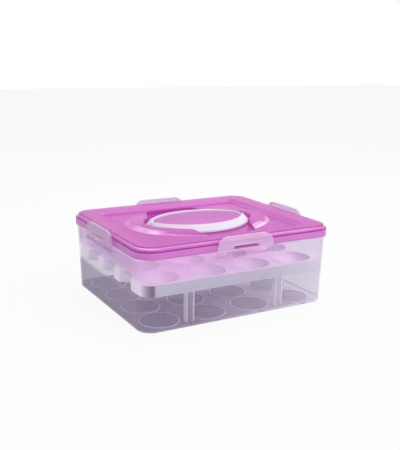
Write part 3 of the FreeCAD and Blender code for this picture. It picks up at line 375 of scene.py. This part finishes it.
def lid_plastic():
    """Tinted lid: see-through magenta with painted light on its skirt, shoulder and slopes, painted
    highlights, and dark lines of painted shade along its steps and in its hollows.
    """
    t = Plastic("pink_lid")
    x, y, z = t.split(t.where)
    across, along, upward = t.split(t.facing)
    flow = t.flow(18.0)
    edges, normal = edge_mask(t, 1.2 * MM)
    depth = inset(t, x, y, *LID_HALF, LID_CORNER)
    upright = t.fall(t.size(upward), 0.3, 0.6)
    sloping = t.band(upward, 0.45, 0.92, 0.03)
    outer = t.fall(depth, *LID_STEPS)
    inner = t.rise(depth, *LID_PANEL)

    # Steps along the outline, with painted light on the skirt and shoulder, painted shade on the rim, ledge
    # and hem, and a painted highlight at the left-front corner
    skirt = t.product(outer, upright, t.fall(z, *SKIRT_TOP))
    shoulder = t.product(outer, t.band(z, *SHOULDER, 0.3 * MM))
    rim = t.product(t.band(depth, *LID_RIM, 0.4 * MM), t.rise(z, *RIM_TOP))
    ledge = t.product(outer, t.band(z, *LEDGE, 0.15 * MM))
    hem = t.product(outer, t.fall(z, *LID_HEM))
    left_front = t.fall(t.total(across, along), -1.2, -0.6)
    # Painted highlight along the shoulder at the left-front corner.
    highlight_streak = t.product(outer, left_front, t.band(z, *STREAK, 0.2 * MM))
    # The catch ribs are painted deeper for their thick plastic, and the skirt behind the left latch's slot
    # gets painted shade.
    catch = t.fall(depth, *CATCHES)
    shade_behind_slot = t.product(skirt, t.fall(t.size(y), *mm(22.0, 26.0)), t.fall(x, *mm(-140.0, -130.0)))

    # Oval plateau, with painted highlights on its sides, and the pad in its middle
    oval_x = t.product(x, PLATEAU_ASPECT)
    reach = t.length(oval_x, y)
    glints = []
    for aim, ends in GLINTS:
        along_aim = t.total(t.product(oval_x, aim[0]), t.product(y, aim[1]))
        glints.append(t.rise(t.maths("DIVIDE", along_aim, reach), *ends))
    lit_side = t.most(*glints)
    glint = t.product(lit_side, t.rise(z, *PLATEAU_TOP), t.band(reach, *PLATEAU_SIDE, 1.5 * MM), 0.75)
    front = t.fall(along, -0.3, 0.05)
    facet_highlight = t.product(t.fall(reach, *PLATEAU_EDGE), sloping, front, t.rise(z, *PLATEAU_FOOT))
    facet_highlight = t.product(facet_highlight, t.spread(lit_side, 0.3, 1.0))
    from_pad = t.length(t.maths("DIVIDE", x, PAD_HALF[0]), t.maths("DIVIDE", y, PAD_HALF[1]))
    pad = t.product(t.fall(from_pad, 1.08, 1.1), t.rise(z, *PAD_TOP))
    # Painted shade in the hollows of the panel.
    crease_shade = t.product(inner, t.fall(z, *PANEL_TOP), crease_mask(t, 5.0 * MM))

    # Painted shade: dark lines along the ledge, the rim and the hem.
    dark = t.most(ledge, t.product(rim, 0.85), t.product(hem, 0.5))
    colour = t.layers(
        t.blend(flow, rgb(0.58, 0.055, 0.47), rgb(0.53, 0.045, 0.43)),
        # Painted light on the skirt, the shoulder and the panel's slopes.
        (skirt, rgb(0.66, 0.22, 0.61)),
        (shoulder, rgb(0.86, 0.24, 0.76)),
        (t.product(inner, sloping), rgb(0.76, 0.27, 0.69)),
        (pad, rgb(0.55, 0.145, 0.50)),
        (t.product(crease_shade, 0.75), rgb(0.40, 0.05, 0.34)),
        # Painted highlight along the edges.
        (t.product(edges, 0.45), rgb(0.84, 0.36, 0.76)),
        (dark, rgb(0.24, 0.03, 0.21)),
        (t.most(facet_highlight, glint), rgb(0.95, 0.68, 0.91)),
        (t.most(catch, t.product(shade_behind_slot, 0.8)), rgb(0.36, 0.04, 0.31)),
        (highlight_streak, rgb(0.95, 0.72, 0.93)),
    )
    rough = t.total(t.spread(flow, 0.15, 0.22), t.product(pad, 0.2))
    marks = t.most(dark, facet_highlight, glint, catch, shade_behind_slot, highlight_streak, crease_shade, t.product(edges, 0.8))
    lines = t.product(marks, 0.95)
    cover = t.most(slanted_cover(t, 0.42, 0.9), t.product(pad, 0.8), t.product(skirt, 0.7), lines)
    surface(t, colour, rough, normal, cover, rgb(0.97, 0.70, 0.93), 0.06, rgb(0.985, 0.86, 0.97))
    return t.material


def leg_plastic():
    """Clear channel leg with painted highlights along its long edges, painted paler to the right, where more
    light falls.
    """
    t = Plastic("clear_leg")
    x, _, _ = t.split(t.where)
    flow = t.flow()
    edges, normal = edge_mask(t, 0.8 * MM)
    from_middle = t.size(t.maths("SUBTRACT", t.size(x), CUP_PITCH[0]))
    edges = t.most(edges, t.rise(from_middle, *LEG_EDGE))
    colour = t.layers(
        t.blend(flow, rgb(0.56, 0.53, 0.61), rgb(0.52, 0.49, 0.57)),
        # Painted light: paler to the right.
        (t.spread(x, 0.0, 0.8, *mm(-20.0, 20.0)), rgb(0.88, 0.87, 0.92)),
        # Painted highlight along the edges.
        (edges, rgb(1.0, 0.99, 1.0)),
    )
    cover = t.most(slanted_cover(t, 0.4, 0.8), t.product(edges, 0.97))
    surface(t, colour, t.spread(flow, 0.18, 0.26), normal, cover, rgb(0.93, 0.92, 0.95), 0.15)
    return t.material


def latch_plastic():
    """Frosted latch plate with painted highlights on its outlines and painted shade on the left and rear
    latches, clearer towards its foot.
    """
    t = Plastic("frosted_latch")
    x, y, z = t.split(t.where)
    flow = t.flow()
    edges, normal = edge_mask(t, 1.0 * MM)
    # Painted shade on the left and rear latches, which are turned from the light.
    away_from_light = t.most(t.fall(x, *mm(-140.0, -120.0)), t.rise(y, *mm(100.0, 120.0)))
    colour = t.layers(
        t.blend(flow, rgb(0.84, 0.65, 0.85), rgb(0.80, 0.61, 0.81)),
        (t.product(away_from_light, 0.6), rgb(0.50, 0.34, 0.52)),
        # Painted highlight along the outlines.
        (edges, rgb(1.0, 0.93, 1.0)),
    )
    high = t.spread(z, 0.12, 1.0, *LATCH_FOOT)
    cover = t.product(t.most(slanted_cover(t, 0.3, 0.85), t.product(edges, 0.95)), high)
    surface(t, colour, t.spread(flow, 0.24, 0.32), normal, cover, rgb(0.96, 0.90, 0.96), 0.1)
    return t.material


tray = tray_plastic()
FINISHES = {
    "box": shell_plastic(),
    "egg_tray": tray,
    "tray_bowl": tray,
    "tray_leg": leg_plastic(),
    "lid": lid_plastic(),
    "handle": handle_plastic(),
    "latch": latch_plastic(),
}
for name, obj in nodes.items():
    obj.data.materials.clear()
    obj.data.materials.append(next(look for start, look in FINISHES.items() if name.startswith(start)))


def whiten(t, plain, white, share):
    """Joins a plain shader to the output, with white over it by a share where the background is seen."""
    white.inputs["Color"].default_value = rgb(1.0, 1.0, 1.0)
    white.inputs["Strength"].default_value = 1.0
    path = t.add("ShaderNodeLightPath")
    kinds = ("Is Camera Ray", "Is Glossy Ray", "Is Transmission Ray")
    seen = t.most(*(path.outputs[kind] for kind in kinds))
    t.finish(t.product(seen, share), plain, white)


def paper_floor(half):
    """Pale floor, near white to the camera, with the object's soft shadow kept."""
    mesh = bpy.data.meshes.new("floor")
    corners = [(-half, -half, 0), (half, -half, 0), (half, half, 0), (-half, half, 0)]
    mesh.from_pydata(corners, [], [(0, 1, 2, 3)])
    floor = bpy.data.objects.new("floor", mesh)
    floor.location.z = -0.3 * MM
    scene.collection.objects.link(floor)
    material = bpy.data.materials.new("floor_paper")
    t = Tree(material, "ShaderNodeOutputMaterial")
    paper = t.add("ShaderNodeBsdfDiffuse")
    paper.inputs["Color"].default_value = rgb(0.80, 0.80, 0.80)
    whiten(t, paper, t.add("ShaderNodeEmission"), 0.9)
    mesh.materials.append(material)


def studio_world():
    """White behind, soft studio light around."""
    scene.world = bpy.data.worlds.new("studio")
    t = Tree(scene.world, "ShaderNodeOutputWorld")
    soft = t.add("ShaderNodeBackground")
    soft.inputs["Color"].default_value = rgb(0.95, 0.95, 1.0)
    soft.inputs["Strength"].default_value = 0.53
    whiten(t, soft, t.add("ShaderNodeBackground"), 1.0)


LAMP_TARGET = Vector((0, 0, 0.06))


def lamp(name, place, size, power, glossy=False):
    """A square soft box turned towards the object, mirrored in glossy faces only if asked."""
    light = bpy.data.lights.new(name, "AREA")
    light.size = size
    light.energy = power
    obj = bpy.data.objects.new(name, light)
    obj.location = place
    obj.visible_glossy = glossy
    obj.rotation_euler = (LAMP_TARGET - Vector(place)).to_track_quat("-Z", "Y").to_euler()
    scene.collection.objects.link(obj)


paper_floor(half=6.0)
studio_world()
lamp("key", (-1.3, -1.3, 1.0), 0.9, 8.8)
lamp("top", (0.5, 0.3, 1.6), 1.2, 13.6, glossy=True)
lamp("side", (1.3, -1.4, 0.9), 0.9, 12.6)

# Camera at the photograph's place, a little rolled
EYE = Vector((-488.3, -871.2, 344.2)) * MM
TARGET = Vector((3.4, 0.0, 101.7)) * MM
ROLL = math.radians(0.739)
ahead = (TARGET - EYE).normalized()
right = ahead.cross(Vector((0, 0, 1))).normalized()
up = right.cross(ahead)
rolled = right * math.cos(ROLL) + up * math.sin(ROLL)
over = up * math.cos(ROLL) - right * math.sin(ROLL)
camera_data = bpy.data.cameras.new("camera")
camera_data.sensor_width = 36.0
camera_data.lens = 56.24
camera_data.clip_start = 0.01
camera = bpy.data.objects.new("camera", camera_data)
turn = Matrix((rolled, over, -ahead)).transposed().to_4x4()
camera.matrix_world = Matrix.Translation(EYE) @ turn
scene.collection.objects.link(camera)
scene.camera = camera
